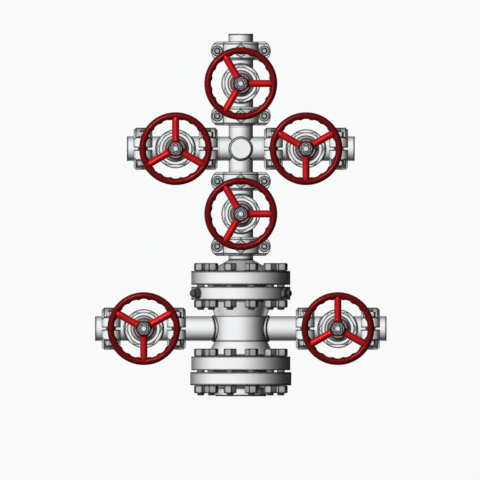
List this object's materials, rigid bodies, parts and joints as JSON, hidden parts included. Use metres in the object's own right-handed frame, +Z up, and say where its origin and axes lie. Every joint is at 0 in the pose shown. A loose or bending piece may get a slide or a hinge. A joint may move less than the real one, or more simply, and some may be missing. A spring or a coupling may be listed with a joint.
{
  "type": "gas wellhead valve stack",
  "caption": "Wellhead tree: studded flanges carry a tubing head with side outlet valves, then a clamped trunk of valves and a cross with wing valves, each turned by a red handwheel",
  "frame": {"origin": "centre of the open lower end of the casing spool, on the floor", "axes": "+Z up along the trunk, +X along the side arms to the viewer's right, -Y toward the viewer, the side with the handwheels"},
  "size_m": [1.118, 0.499, 1.3905],
  "materials": {
    "body_steel": "pale satin machined steel",
    "nut_steel": "plated steel nuts",
    "stud_steel": "threaded steel bar",
    "dark_steel": "dark phosphated steel",
    "wheel_paint": "red gloss paint"
  },
  "bodies": {
    "stack": {"casing_spool": "body_steel", "tubing_head": "body_steel", "head_adapter": "body_steel", "flow_cross": "body_steel", "top_valve_body": "body_steel", "master_valve_body": "body_steel", "left_wing_valve_body": "body_steel", "right_wing_valve_body": "body_steel", "left_outlet_valve_body": "body_steel", "right_outlet_valve_body": "body_steel", "top_bonnet": "body_steel", "master_bonnet": "body_steel", "left_wing_bonnet": "body_steel", "right_wing_bonnet": "body_steel", "left_outlet_bonnet": "body_steel", "right_outlet_bonnet": "body_steel", "bonnet_nuts": "nut_steel", "end_stubs": "body_steel", "trunk_clamps": "body_steel", "wing_clamps": "body_steel", "outlet_clamps": "body_steel", "clamp_studs": "stud_steel", "clamp_nuts": "nut_steel", "flange_studs": "stud_steel", "flange_nuts": "nut_steel", "ring_gaskets": "dark_steel", "lock_screws": "dark_steel"},
    "top_wheel": {"top_handwheel": "wheel_paint", "top_stem": "stud_steel", "top_wheel_nut": "nut_steel"},
    "master_wheel": {"master_handwheel": "wheel_paint", "master_stem": "stud_steel", "master_wheel_nut": "nut_steel"},
    "left_wing_wheel": {"left_wing_handwheel": "wheel_paint", "left_wing_stem": "stud_steel", "left_wing_wheel_nut": "nut_steel"},
    "right_wing_wheel": {"right_wing_handwheel": "wheel_paint", "right_wing_stem": "stud_steel", "right_wing_wheel_nut": "nut_steel"},
    "left_outlet_wheel": {"left_outlet_handwheel": "wheel_paint", "left_outlet_stem": "stud_steel", "left_outlet_wheel_nut": "nut_steel"},
    "right_outlet_wheel": {"right_outlet_handwheel": "wheel_paint", "right_outlet_stem": "stud_steel", "right_outlet_wheel_nut": "nut_steel"}
  },
  "joints": [
    {"name": "top_wheel_turn", "type": "hinge", "parent": "stack", "child": "top_wheel", "pos_m": [0, -0.253, 1.1995], "axis": [0, -1, 0], "continuous": true},
    {"name": "master_wheel_turn", "type": "hinge", "parent": "stack", "child": "master_wheel", "pos_m": [0, -0.253, 0.6995], "axis": [0, -1, 0], "continuous": true},
    {"name": "left_wing_wheel_turn", "type": "hinge", "parent": "stack", "child": "left_wing_wheel", "pos_m": [-0.25, -0.253, 0.9495], "axis": [0, -1, 0], "continuous": true},
    {"name": "right_wing_wheel_turn", "type": "hinge", "parent": "stack", "child": "right_wing_wheel", "pos_m": [0.25, -0.253, 0.9495], "axis": [0, -1, 0], "continuous": true},
    {"name": "left_outlet_wheel_turn", "type": "hinge", "parent": "stack", "child": "left_outlet_wheel", "pos_m": [-0.372, -0.253, 0.2595], "axis": [0, -1, 0], "continuous": true},
    {"name": "right_outlet_wheel_turn", "type": "hinge", "parent": "stack", "child": "right_outlet_wheel", "pos_m": [0.372, -0.253, 0.2595], "axis": [0, -1, 0], "continuous": true}
  ]
}
